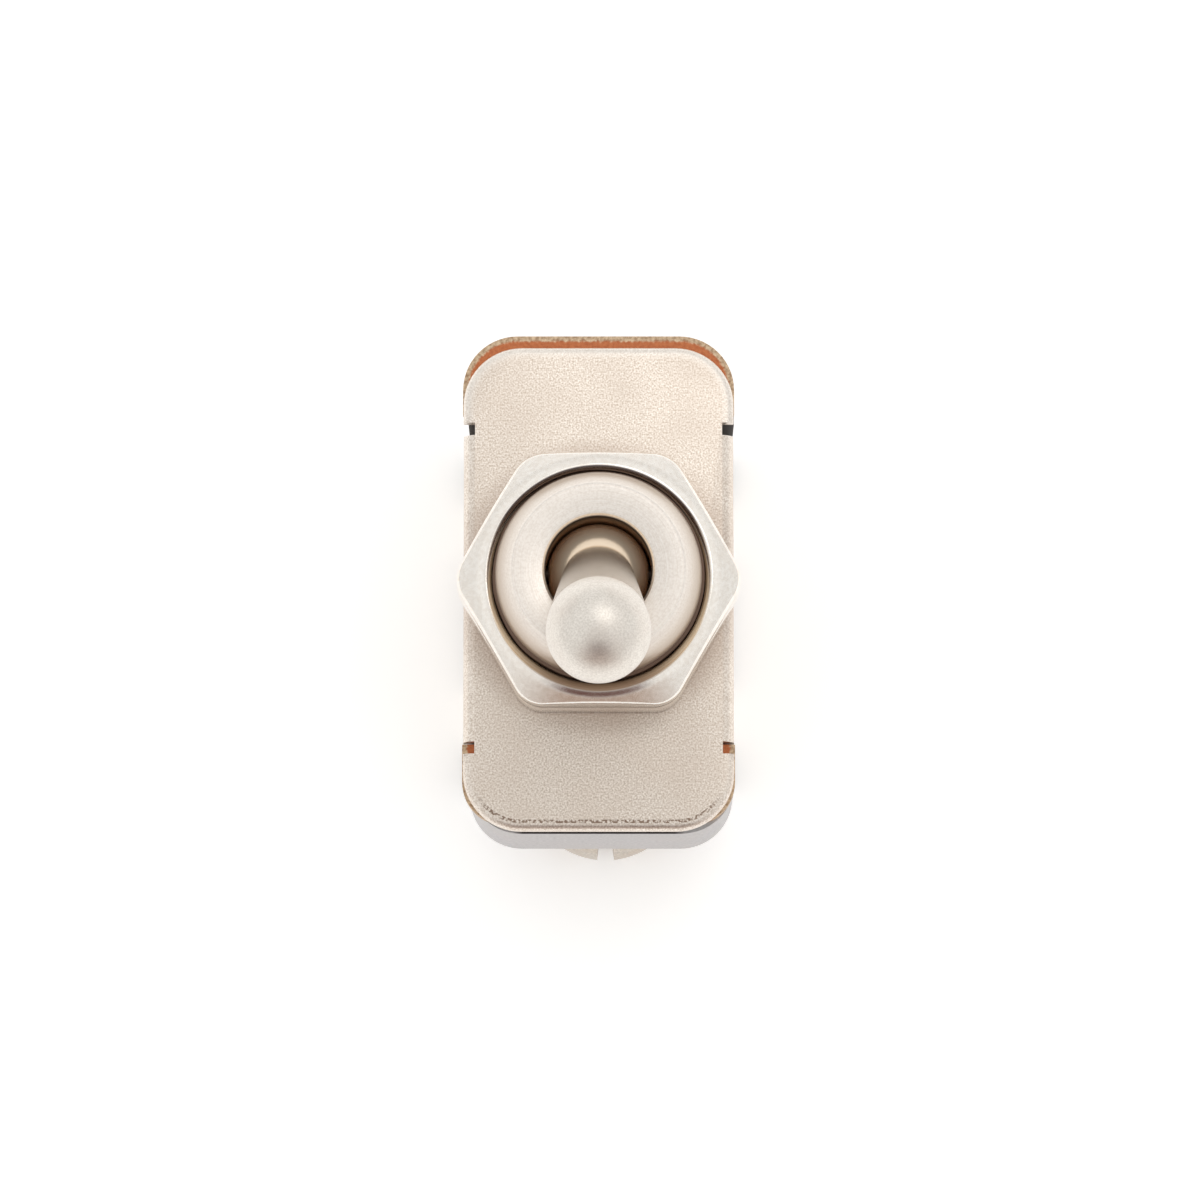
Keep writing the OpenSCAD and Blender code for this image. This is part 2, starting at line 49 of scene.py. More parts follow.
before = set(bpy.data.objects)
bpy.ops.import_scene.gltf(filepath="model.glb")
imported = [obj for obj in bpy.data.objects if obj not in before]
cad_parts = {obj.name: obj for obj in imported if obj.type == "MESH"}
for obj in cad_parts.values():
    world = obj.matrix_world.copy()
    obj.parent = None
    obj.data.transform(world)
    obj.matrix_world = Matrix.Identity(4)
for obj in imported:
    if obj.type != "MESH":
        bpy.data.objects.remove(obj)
cad_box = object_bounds()

# ---------- sizes of the pieces, in millimetres ----------

PLATE_CORNER = 3.3       # round corners of the frame's front plate
BOARD_CORNER = 3.1       # round corners of the insulator board
REBATE = 9.6             # half length of the base's side rebates
BORE = 2.98              # radius of the bushing's bore
RING = 4.79              # radius of the bushing's flat front ring
THREAD = 5.95            # radius over the bushing's thread
SHOULDER = 2.4           # height of the bushing's round shoulder
SEAM = 2.4               # height of the lower nut, where the upper one sits on it
MOUTH = 6.36             # radius of the upper nut's countersunk mouth
PIVOT = 4.6              # height of the lever's cross pin
NECK_TOP = 2.77          # from the cross pin to where the lever's bat starts
TIP_REACH = 17.9         # from the cross pin to the middle of the lever's round tip

bushing_low, bushing_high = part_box("bushing")
shoulder_foot = bushing_high.z / MM - SHOULDER
pivot = Vector((0, 0, PIVOT)) * MM
lean = math.radians(18)  # the lever's lean at rest, towards -Y
lever_axis = Vector((0, -math.sin(lean), math.cos(lean)))


# ---------- small helpers ----------

def paint(code):
    """sRGB hex colour as the linear values that a shader takes."""
    parts = [int(code[i:i + 2], 16) / 255 for i in (1, 3, 5)]
    return [c / 12.92 if c <= 0.04045 else ((c + 0.055) / 1.055) ** 2.4 for c in parts] + [1.0]


def per(size_mm):
    """Scale of a pattern whose features are size_mm apart, in a frame of metres."""
    return 1 / (size_mm * MM)


def add(tree, kind, settings=None, *values, **named):
    """Adds a node with its settings; values fill its sockets in order and named ones by name.

    A value that is a node stands for its first live output.
    """
    node = tree.nodes.new("ShaderNode" + kind)
    for key, value in (settings or {}).items():
        setattr(node, key, value)
    live = [socket for socket in node.inputs if socket.enabled]
    filled = list(zip(live, values))
    for key, value in named.items():
        filled.append((next(socket for socket in live if socket.name == key.replace("_", " ")), value))
    for socket, value in filled:
        if isinstance(value, bpy.types.Node):
            value = next(output for output in value.outputs if output.enabled)
        if isinstance(value, bpy.types.NodeSocket):
            tree.links.new(value, socket)
        else:
            socket.default_value = value
    return node


def finished(make):
    """Material with its maker's name; the maker adds the nodes and returns the shader."""
    material = bpy.data.materials.new(make.__name__)
    material.use_nodes = True
    material.node_tree.nodes.clear()
    add(material.node_tree, "OutputMaterial", {}, make(material.node_tree))
    return material


# ---------- finishes ----------

def nickel_plated_sheet_steel(tree):
    # cold-rolled sheet, barrel nickel plated: satin and warm white, with a fine pitted grain that is
    # drawn about twice as coarse as the real one, so that it shows
    where = add(tree, "TexCoord").outputs["Object"]
    parts = add(tree, "SeparateXYZ", {}, where)
    pits = add(tree, "TexNoise", Vector=where, Scale=per(0.1), Detail=1.0)
    cloud = add(tree, "TexNoise", Vector=where, Scale=per(4))
    fine = add(tree, "MapRange", {}, pits, 0.3, 0.7)
    broad = add(tree, "MapRange", {}, cloud, 0.35, 0.7, 0.0, 0.35)
    tone = add(tree, "Mix", COLOUR, fine, paint("#C9BAAB"), paint("#FDF5EC"))
    tone = add(tree, "Mix", COLOUR, broad, tone, paint("#DDCEC0"))
    # painted shadow round the nut's foot
    flat = add(tree, "CombineXYZ", X=parts.outputs["X"], Y=parts.outputs["Y"])
    radius = add(tree, "VectorMath", {"operation": "LENGTH"}, flat)
    painted_nut_shadow = add(tree, "MapRange", {}, radius, 7.2 * MM, 8.7 * MM, 0.45, 0.0)
    tone = add(tree, "Mix", COLOUR, painted_nut_shadow, tone, paint("#A58B7A"))
    # distance out from the middle of the outline's round corners
    low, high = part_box("frame")
    size, bend = high - low, PLATE_CORNER * MM
    middles = (size.x / 2 - bend, size.y / 2 - bend, 0)
    beside = add(tree, "VectorMath", {"operation": "ABSOLUTE"}, flat)
    beyond = add(tree, "VectorMath", {"operation": "SUBTRACT"}, beside, middles)
    beyond = add(tree, "VectorMath", {"operation": "MAXIMUM"}, beyond, (0, 0, 0))
    reach = add(tree, "VectorMath", {"operation": "LENGTH"}, beyond)
    # the rolled rim is painted lighter, most of all at the +Y end: a painted highlight
    rim = add(tree, "MapRange", {}, reach, bend - 0.7 * MM, bend - 0.3 * MM)
    far = add(tree, "MapRange", {}, parts.outputs["Y"], 6 * MM, 12 * MM, 0.1, 0.45)
    rim = add(tree, "Math", {"operation": "MULTIPLY"}, rim, far)
    tone = add(tree, "Mix", COLOUR, rim, tone, paint("#FFFCF7"))
    # painted dark reflection, in specks, where the roll starts at the -Y end
    crease = add(tree, "Math", {"operation": "COMPARE"}, reach, bend - 0.5 * MM, 0.1 * MM)
    end = add(tree, "MapRange", {}, parts.outputs["Y"], low.y + 2.2 * MM, low.y + 1.2 * MM)
    specks = add(tree, "TexNoise", Vector=where, Scale=per(0.16), Detail=2.0)
    specks = add(tree, "MapRange", {}, specks, 0.44, 0.56)
    painted_darkening = add(tree, "Math", {"operation": "MULTIPLY"}, crease, end)
    painted_darkening = add(tree, "Math", {"operation": "MULTIPLY"}, painted_darkening, specks)
    tone = add(tree, "Mix", COLOUR, painted_darkening, tone, paint("#8F7A6B"))
    gloss = add(tree, "MapRange", {}, cloud, 0.3, 0.7, 0.36, 0.43)
    bump = add(tree, "Bump", Height=pits, Distance=0.012 * MM, Strength=0.6)
    return add(tree, "BsdfPrincipled", Base_Color=tone, Metallic=1.0, Roughness=gloss, Normal=bump)


def nickel_plated_turned_brass(tree):
    # brass turned on an automatic lathe, then nickel plated: satin-bright, with faint rings from the tool
    where = add(tree, "TexCoord").outputs["Object"]
    parts = add(tree, "SeparateXYZ", {}, where)
    height = parts.outputs["Z"]
    flat = add(tree, "CombineXYZ", X=parts.outputs["X"], Y=parts.outputs["Y"])
    radius = add(tree, "VectorMath", {"operation": "LENGTH"}, flat)
    rings = add(tree, "TexNoise", RINGS, W=radius, Scale=per(0.09), Detail=3.0)
    speck = add(tree, "TexNoise", Vector=where, Scale=per(0.12))
    ringed = add(tree, "MapRange", {}, rings, 0.2, 0.8)
    tone = add(tree, "Mix", COLOUR, ringed, paint("#EFE7DF"), paint("#F9F4EE"))
    speckled = add(tree, "MapRange", {}, speck, 0.4, 0.65, 0.0, 0.4)
    tone = add(tree, "Mix", COLOUR, speckled, tone, paint("#D8CEC4"))
    # the shoulder is painted a little darker than the ring: painted shade
    side = add(tree, "MapRange", {}, radius, (RING + 0.06) * MM, (THREAD - 0.25) * MM)
    tone = add(tree, "Mix", COLOUR, side, tone, paint("#B9A999"))
    # the wall of the bore is brown, painted dark below its mouth as painted shade and paler further down as
    # painted light
    deep = add(tree, "MapRange", {}, height, 6.6 * MM, 5.2 * MM)
    painted_bore_light_and_shade = add(tree, "Mix", COLOUR, deep, paint("#30231B"), paint("#C29C77"))
    wall = add(tree, "MapRange", {}, radius, (BORE + 0.01) * MM, (BORE + 0.08) * MM, 1.0, 0.0)
    tone = add(tree, "Mix", COLOUR, wall, tone, painted_bore_light_and_shade)
    # painted shade at the shoulder's foot and in the thread below it
    foot = add(tree, "MapRange", {}, height, (shoulder_foot + 0.7) * MM, shoulder_foot * MM)
    outer = add(tree, "MapRange", {}, radius, 5.3 * MM, 5.5 * MM)
    painted_foot_shade = add(tree, "Math", {"operation": "MULTIPLY"}, foot, outer)
    tone = add(tree, "Mix", COLOUR, painted_foot_shade, tone, paint("#6A5242"))
    dull = add(tree, "Math", {"operation": "MAXIMUM"}, wall, painted_foot_shade)
    metal = add(tree, "MapRange", {}, dull, 0.0, 1.0, 1.0, 0.25)
    gloss = add(tree, "MapRange", {}, dull, 0.0, 1.0, 0.32, 0.5)
    bump = add(tree, "Bump", Height=rings, Distance=0.01 * MM, Strength=0.5)
    return add(tree, "BsdfPrincipled", Base_Color=tone, Metallic=metal, Roughness=gloss, Normal=bump)


def bright_nickel_plated_brass(tree):
    # nuts milled from hexagon bar, tumbled till their edges are round, then nickel plated: bright and smooth
    where = add(tree, "TexCoord").outputs["Object"]
    parts = add(tree, "SeparateXYZ", {}, where)
    height = parts.outputs["Z"]
    flat = add(tree, "CombineXYZ", X=parts.outputs["X"], Y=parts.outputs["Y"])
    radius = add(tree, "VectorMath", {"operation": "LENGTH"}, flat)
    fine = add(tree, "TexNoise", Vector=where, Scale=per(0.25))
    cloud = add(tree, "TexNoise", Vector=where, Scale=per(3.2))
    grain = add(tree, "MapRange", {}, fine, 0.35, 0.65)
    clouded = add(tree, "MapRange", {}, cloud, 0.45, 0.75, 0.0, 0.3)
    tone = add(tree, "Mix", COLOUR, grain, paint("#F4EEE6"), paint("#FCF8F2"))
    tone = add(tree, "Mix", COLOUR, clouded, tone, paint("#EADFD4"))
    # painted shade in the seam between the nuts and where the lower one meets the plate
    seam = add(tree, "Math", {"operation": "COMPARE"}, height, SEAM * MM, 0.1 * MM)
    seat = add(tree, "MapRange", {}, height, 0.25 * MM, 0.05 * MM, 0.0, 0.9)
    painted_darkening = add(tree, "Math", {"operation": "MAXIMUM"}, seam, seat)
    tone = add(tree, "Mix", COLOUR, painted_darkening, tone, paint("#8B7565"))
    # the thread's mouth is tan, in rings that the countersinking tool left
    rings = add(tree, "TexNoise", RINGS, W=radius, Scale=per(0.1), Detail=2.0)
    ringed = add(tree, "MapRange", {}, rings, 0.35, 0.65)
    mouth_tan_and_lever_shadow = add(tree, "Mix", COLOUR, ringed, paint("#E9C9A0"), paint("#FBE6C8"))
    # the tan reaches further out towards -Y, and is darker there: painted shadow of the lever
    reach = add(tree, "Math", {"operation": "MULTIPLY_ADD"}, parts.outputs["Y"], 0.05, radius)
    sunk = add(tree, "MapRange", {}, reach, (MOUTH - 0.22) * MM, (MOUTH - 0.12) * MM, 1.0, 0.0)
    painted_lever_shadow = add(tree, "MapRange", {}, parts.outputs["Y"], -4 * MM, -6 * MM, 0.0, 0.9)
    mouth_tan_and_lever_shadow = add(tree, "Mix", COLOUR, painted_lever_shadow, mouth_tan_and_lever_shadow, paint("#8C6E56"))
    tone = add(tree, "Mix", COLOUR, sunk, tone, mouth_tan_and_lever_shadow)
    # a dark line lies just inside the mouth's edge on the +Y half
    line = add(tree, "Math", {"operation": "COMPARE"}, radius, (MOUTH - 0.12) * MM, 0.05 * MM)
    away = add(tree, "MapRange", {}, parts.outputs["Y"], 1.5 * MM, 3.5 * MM, 0.0, 0.85)
    line = add(tree, "Math", {"operation": "MULTIPLY"}, line, away)
    tone = add(tree, "Mix", COLOUR, line, tone, paint("#4C3B40"))
    metal = add(tree, "MapRange", {}, sunk, 0.0, 1.0, 1.0, 0.0)
    gloss = add(tree, "MapRange", {}, cloud, 0.35, 0.7, 0.18, 0.27)
    bump = add(tree, "Bump", Height=fine, Distance=0.004 * MM, Strength=0.4)
    return add(tree, "BsdfPrincipled", Base_Color=tone, Metallic=metal, Roughness=gloss, Normal=bump)


def satin_nickel_plated_brass(tree):
    # lever turned from brass rod and nickel plated: a satin tip, a smoother shaft painted greyer as painted
    # shade, and a ball painted warm and pale as painted light
    where = add(tree, "TexCoord").outputs["Object"]
    fine = add(tree, "TexNoise", Vector=where, Scale=per(0.1))
    cloud = add(tree, "TexNoise", Vector=where, Scale=per(1.8))
    grain = add(tree, "MapRange", {}, fine, 0.32, 0.68)
    clouded = add(tree, "MapRange", {}, cloud, 0.4, 0.75, 0.0, 0.3)
    tone = add(tree, "Mix", COLOUR, grain, paint("#DCD6CE"), paint("#F3EEE7"))
    tone = add(tree, "Mix", COLOUR, clouded, tone, paint("#D5C8BE"))
    # distance along the lever from its cross pin
    from_pivot = add(tree, "VectorMath", {"operation": "SUBTRACT"}, where, tuple(pivot))
    along = add(tree, "VectorMath", {"operation": "DOT_PRODUCT"}, from_pivot, tuple(lever_axis))
    shaft = add(tree, "MapRange", {}, along, (TIP_REACH - 0.7) * MM, (TIP_REACH - 1.3) * MM)
    ball = add(tree, "MapRange", {}, along, (NECK_TOP + 0.03) * MM, (NECK_TOP - 0.03) * MM)
    # painted shade: the shaft is greyer; painted light: the ball is warm and pale
    tone = add(tree, "Mix", COLOUR, shaft, tone, paint("#B4A99C"))
    tone = add(tree, "Mix", COLOUR, ball, tone, paint("#FFEBD2"))
    gloss = add(tree, "MapRange", {}, shaft, 0.0, 1.0, 0.42, 0.24)
    metal = add(tree, "MapRange", {}, ball, 0.0, 1.0, 1.0, 0.7)
    bump = add(tree, "Bump", Height=fine, Distance=0.008 * MM, Strength=0.6)
    return add(tree, "BsdfPrincipled", Base_Color=tone, Metallic=metal, Roughness=gloss, Normal=bump)


def paper_phenolic(tree):
    # brown paper phenolic laminate: smooth resin-rich face, paler fibrous rim where the punch tore it
    where = add(tree, "TexCoord").outputs["Object"]
    parts = add(tree, "SeparateXYZ", {}, where)
    layered = add(tree, "Mapping", Vector=where, Scale=(1, 1, 4))
    fibre = add(tree, "TexNoise", Vector=layered, Scale=per(0.2), Detail=5.0)
    smooth = add(tree, "MapRange", {}, fibre, 0.3, 0.7)
    rough = add(tree, "MapRange", {}, fibre, 0.35, 0.65)
    face = add(tree, "Mix", COLOUR, smooth, paint("#B8612F"), paint("#D07A45"))
    torn = add(tree, "Mix", COLOUR, rough, paint("#A88767"), paint("#E6CCAA"))
    # distance from the outline's round corners, made ragged by the fibres
    low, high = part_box("insulator_board")
    middle, half, bend = (low + high) / 2, (high - low) / 2, BOARD_CORNER * MM
    beside = add(tree, "VectorMath", {"operation": "SUBTRACT"}, where, tuple(middle))
    beside = add(tree, "VectorMath", {"operation": "ABSOLUTE"}, beside)
    beyond = add(tree, "VectorMath", {"operation": "SUBTRACT"}, beside, (half.x - bend, half.y - bend, 1))
    beyond = add(tree, "VectorMath", {"operation": "MAXIMUM"}, beyond, (0, 0, 0))
    reach = add(tree, "VectorMath", {"operation": "LENGTH"}, beyond)
    ragged = add(tree, "Math", {"operation": "MULTIPLY_ADD"}, fibre, 0.3 * MM, reach)
    rim = add(tree, "MapRange", {}, ragged, bend - 0.2 * MM, bend - 0.08 * MM)
    tone = add(tree, "Mix", COLOUR, rim, face, torn)
    # its short end, under the plate's -Y edge, is painted black: painted shadow in the gap under the plate
    end = add(tree, "MapRange", {}, parts.outputs["Y"], low.y + 0.3 * MM, low.y + 0.1 * MM)
    tone = add(tree, "Mix", COLOUR, end, tone, paint("#15100D"))
    bump = add(tree, "Bump", Height=fibre, Distance=0.06 * MM, Strength=0.8)
    return add(tree, "BsdfPrincipled", Base_Color=tone, Roughness=0.6, IOR=1.55, Normal=bump)


def grey_urea_moulding(tree):
    # pale grey thermosetting moulding with mineral filler: matt and faintly mottled
    where = add(tree, "TexCoord").outputs["Object"]
    parts = add(tree, "SeparateXYZ", {}, where)
    speck = add(tree, "TexNoise", Vector=where, Scale=per(0.2), Detail=4.0)
    cloud = add(tree, "TexNoise", Vector=where, Scale=per(4))
    grain = add(tree, "MapRange", {}, speck, 0.35, 0.65)
    clouded = add(tree, "MapRange", {}, cloud, 0.4, 0.7, 0.0, 0.4)
    tone = add(tree, "Mix", COLOUR, grain, paint("#BEBCBD"), paint("#D2D0D1"))
    tone = add(tree, "Mix", COLOUR, clouded, tone, paint("#CFCAC8"))
    # the two rebates that the frame's walls stand in are painted near-black: painted shade
    beside = add(tree, "SeparateXYZ", {}, add(tree, "VectorMath", {"operation": "ABSOLUTE"}, where))
    outer = add(tree, "MapRange", {}, beside.outputs["X"], 6.4 * MM, 6.5 * MM)
    within = add(tree, "MapRange", {}, beside.outputs["Y"], (REBATE + 0.06) * MM, (REBATE + 0.03) * MM)
    painted_gap_shade = add(tree, "Math", {"operation": "MULTIPLY"}, outer, within)
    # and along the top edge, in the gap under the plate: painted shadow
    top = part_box("base")[1].z
    upper = add(tree, "MapRange", {}, parts.outputs["Z"], top - 0.2 * MM, top - 0.1 * MM)
    middle = add(tree, "MapRange", {}, beside.outputs["X"], 4.9 * MM, 4.3 * MM)
    upper = add(tree, "Math", {"operation": "MULTIPLY"}, upper, middle)
    painted_gap_shade = add(tree, "Math", {"operation": "MAXIMUM"}, painted_gap_shade, upper)
    tone = add(tree, "Mix", COLOUR, painted_gap_shade, tone, paint("#2C2420"))
    bump = add(tree, "Bump", Height=speck, Distance=0.02 * MM, Strength=0.4)
    return add(tree, "BsdfPrincipled", Base_Color=tone, Roughness=0.55, IOR=1.52, Normal=bump)


def nickel_plated_screw_steel(tree):
    # cold-headed screws under nickel: satin, with a slight warm tarnish
    where = add(tree, "TexCoord").outputs["Object"]
    fine = add(tree, "TexNoise", Vector=where, Scale=per(0.15))
    cloud = add(tree, "TexNoise", Vector=where, Scale=per(1.5))
    grain = add(tree, "MapRange", {}, fine, 0.3, 0.7)
    tarnish = add(tree, "MapRange", {}, cloud, 0.4, 0.7, 0.0, 0.5)
    tone = add(tree, "Mix", COLOUR, grain, paint("#BFB6AC"), paint("#DAD2C8"))
    tone = add(tree, "Mix", COLOUR, tarnish, tone, paint("#C4B29E"))
    bump = add(tree, "Bump", Height=fine, Distance=0.008 * MM, Strength=0.5)
    return add(tree, "BsdfPrincipled", Base_Color=tone, Metallic=1.0, Roughness=0.36, Normal=bump)


def rolled_contact_brass(tree):
    # half-hard brass strip: clear yellow metal with fine lines along the rolling direction, Y
    where = add(tree, "TexCoord").outputs["Object"]
    stretched = add(tree, "Mapping", Vector=where, Scale=(8, 0.6, 8))
    line = add(tree, "TexNoise", Vector=stretched, Scale=per(0.6), Detail=3.0)
    lined = add(tree, "MapRange", {}, line, 0.3, 0.7)
    tone = add(tree, "Mix", COLOUR, lined, paint("#A8823F"), paint("#D2AC66"))
    bump = add(tree, "Bump", Height=line, Distance=0.01 * MM, Strength=0.4)
    return add(tree, "BsdfPrincipled", Base_Color=tone, Metallic=1.0, Roughness=0.34, Normal=bump)


def pressed_fine_silver(tree):
    # contact buttons headed from silver wire: white and softly frosted
    where = add(tree, "TexCoord").outputs["Object"]
    frost = add(tree, "TexNoise", Vector=where, Scale=per(0.15), Detail=3.0)
    frosted = add(tree, "MapRange", {}, frost, 0.3, 0.7)
    tone = add(tree, "Mix", COLOUR, frosted, paint("#CFCFCB"), paint("#EDEDEA"))
    bump = add(tree, "Bump", Height=frost, Distance=0.006 * MM, Strength=0.4)
    return add(tree, "BsdfPrincipled", Base_Color=tone, Metallic=1.0, Roughness=0.28, Normal=bump)


def drawn_spring_steel(tree):
    # hard drawn wire: grey, with fine marks from the die
    where = add(tree, "TexCoord").outputs["Object"]
    stretched = add(tree, "Mapping", Vector=where, Scale=(1, 1, 6))
    line = add(tree, "TexNoise", Vector=stretched, Scale=per(0.3), Detail=3.0)
    lined = add(tree, "MapRange", {}, line, 0.3, 0.7)
    tone = add(tree, "Mix", COLOUR, lined, paint("#8C8781"), paint("#B5B0A9"))
    bump = add(tree, "Bump", Height=line, Distance=0.008 * MM, Strength=0.4)
    return add(tree, "BsdfPrincipled", Base_Color=tone, Metallic=1.0, Roughness=0.35, Normal=bump)


def drawn_steel_painted_dark_as_shade(tree):
    # drawn pins, painted brown-black as painted shade in the bore: semi-matt, with lines along X
    where = add(tree, "TexCoord").outputs["Object"]
    stretched = add(tree, "Mapping", Vector=where, Scale=(0.6, 8, 8))
    line = add(tree, "TexNoise", Vector=stretched, Scale=per(0.6), Detail=3.0)
    lined = add(tree, "MapRange", {}, line, 0.3, 0.7)
    tone = add(tree, "Mix", COLOUR, lined, paint("#2E2723"), paint("#463B34"))
    bump = add(tree, "Bump", Height=line, Distance=0.008 * MM, Strength=0.4)
    return add(tree, "BsdfPrincipled", Base_Color=tone, Metallic=1.0, Roughness=0.45, Normal=bump)


def natural_acetal(tree):
    # acetal rod, turned: milky and slightly waxy
    where = add(tree, "TexCoord").outputs["Object"]
    milk = add(tree, "TexNoise", Vector=where, Scale=per(0.2))
    turned = add(tree, "TexNoise", Vector=where, Scale=per(0.1))
    milky = add(tree, "MapRange", {}, milk, 0.3, 0.7)
    tone = add(tree, "Mix", COLOUR, milky, paint("#DCD6C8"), paint("#EEE9DD"))
    bump = add(tree, "Bump", Height=turned, Distance=0.01 * MM, Strength=0.4)
    return add(tree, "BsdfPrincipled", Base_Color=tone, Roughness=0.42, IOR=1.48,
               Subsurface_Weight=0.15, Normal=bump)


NODES_IN = {
    nickel_plated_sheet_steel: ["frame"],
    paper_phenolic: ["insulator_board"],
    grey_urea_moulding: ["base"],
    nickel_plated_turned_brass: ["bushing"],
    bright_nickel_plated_brass: ["lower_nut", "upper_nut"],
    satin_nickel_plated_brass: ["lever"],
    natural_acetal: ["plunger"],
    drawn_spring_steel: ["plunger_spring"],
    drawn_steel_painted_dark_as_shade: ["pivot_pin", "rocker_pin"],
    rolled_contact_brass: [
        "rocker", "fulcrum_bracket", "common_terminal", "load_terminal", "common_rivet", "load_rivet"],
    pressed_fine_silver: ["rocker_contact", "load_contact"],
    nickel_plated_screw_steel: ["common_screw", "load_screw"],
}
finishes = {}
for make, names in NODES_IN.items():
    finishes.update(dict.fromkeys(names, finished(make)))
for name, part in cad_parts.items():
    part.data.materials.clear()
    part.data.materials.append(finishes[name])


# ---------- pieces made here in place of plainer solids ----------

def stand_in(name, work, node, sharp_deg, body="housing"):
    """Piece from a finished bmesh, smooth but for its sharp edges, in place of a node of the same body."""
    mesh = bpy.data.meshes.new(name)
    work.to_mesh(mesh)
    work.free()
    mesh.shade_smooth()
    mesh.set_sharp_from_angle(angle=math.radians(sharp_deg))
    mesh.materials.append(finishes[node])
    piece = bpy.data.objects.new(name, mesh)
    bpy.context.scene.collection.objects.link(piece)
    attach(piece, body)
    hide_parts(node)


def lathed(rows, ring=True):
    """Solid from rows of (radius, height) in millimetres, each row once round the Z axis.

    A ring joins its last row to its first; without, the two end rows are single points on the axis.
    """
    work = bmesh.new()
    turns = max(len(row) for row in rows)
    loops = []
    for row in rows:
        loop = []
        for j, (r, z) in enumerate(row):
            a = 2 * math.pi * j / len(row)
            loop.append(work.verts.new((r * MM * math.cos(a), r * MM * math.sin(a), z * MM)))
        loops.append(loop)
    for low, high in zip(loops, loops[1:] + (loops[:1] if ring else [])):
        for j in range(turns):
            k = (j + 1) % turns
            corners = low[j % len(low)], low[k % len(low)], high[k % len(high)], high[j % len(high)]
            work.faces.new(list(dict.fromkeys(corners)))
    bmesh.ops.recalc_face_normals(work, faces=work.faces)
    return work


def sine_cosine(degrees):
    """Sine and cosine of an angle in degrees."""
    return math.sin(math.radians(degrees)), math.cos(math.radians(degrees))


def folded_frame():
    """The folded frame with the roll that the blanking die leaves round the front plate's two ends."""
    roll, wall_end, nook = 0.42 * MM, 9.4 * MM, 9.45 * MM
    work = bmesh.new()
    work.from_mesh(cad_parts["frame"].data)
    bmesh.ops.remove_doubles(work, verts=work.verts, dist=0.0005 * MM)
    bmesh.ops.dissolve_limit(work, angle_limit=math.radians(0.5), verts=work.verts, edges=work.edges)
    outline = [
        edge for edge in work.edges
        if len(edge.link_faces) == 2 and edge.calc_face_angle() > math.radians(50)
        and all(abs(v.co.z) < 0.01 * MM and abs(v.co.y) > wall_end for v in edge.verts)
        and not all(abs(abs(v.co.y) - nook) < 0.02 * MM for v in edge.verts)
    ]
    bmesh.ops.bevel(work, geom=outline, offset=roll, segments=5, profile=0.5, affect="EDGES")
    stand_in("folded_frame", work, "frame", 35)


def threaded_bushing():
    """The bushing with its 32 per inch thread and a soft edge at the bore's mouth."""
    turns, steps_a_pitch = 240, 10
    low, top = bushing_low.z / MM, bushing_high.z / MM
    pitch, depth, run_out = 25.4 / 32, 0.42, 0.35
    seat, seat_top, funnel_top, mouth = 4.1, 1.6, 2.72, 0.3
    arc_middle, arc = 2.537, 3.243
    profile = [(seat, low), (seat, seat_top), (BORE, funnel_top), (BORE, top - mouth)]
    for a in (30, 60, 90):
        s, c = sine_cosine(a)
        profile.append((BORE + mouth * (1 - c), top - mouth * (1 - s)))
    profile += [(RING, top), (RING + 0.06, top - 0.035)]
    for a in range(44, -1, -4):
        s, c = sine_cosine(a)
        profile.append((arc_middle + arc * c, shoulder_foot + arc * s))
    rows = [[point] * turns for point in profile]
    # the thread's crests and hollows climb one pitch a turn, and fade out at both ends
    for k in range(int((shoulder_foot - run_out) / pitch * steps_a_pitch)):
        z = shoulder_foot - 0.05 - k * pitch / steps_a_pitch
        fade = min(1, (shoulder_foot - z) / 0.15, z / 0.5)
        waves = [abs(2 * ((z / pitch - j / turns) % 1) - 1) for j in range(turns)]
        rows.append([(THREAD - depth * fade * (1 - wave), z) for wave in waves])
    # under the plate: the step that seats on the sheet, and the staked rim
    for point in ((THREAD, 0.0), (5.0, 0.0), (5.0, -0.8), (5.5, -0.8), (5.3, low)):
        rows.append([point] * turns)
    stand_in("threaded_bushing", lathed(rows), "bushing", 30)


def nut_side(angle, inset):
    """Distance from the axis to the nut's round-cornered hexagon, drawn in by inset, in millimetres."""
    flats, corner = 14.29 / 2, 1.8
    inner = (flats - corner) / math.cos(math.radians(30))
    a = math.radians(abs((angle + 30) % 60 - 30))
    bend = corner - inset
    if a < math.atan2(bend / 2, inner + bend * math.cos(math.radians(30))):
        return inner * math.cos(a) + math.sqrt(bend ** 2 - (inner * math.sin(a)) ** 2)
    return (flats - inset) / math.cos(math.radians(30) - a)


def nut_crown(reach):
    """How far the nut's face has fallen: it curves down from the mouth, then runs on as a cone."""
    beyond = reach - MOUTH
    curved = min(beyond, 0.6)
    return 0.25 * curved + 0.5 * curved ** 2 + 0.85 * (beyond - curved)


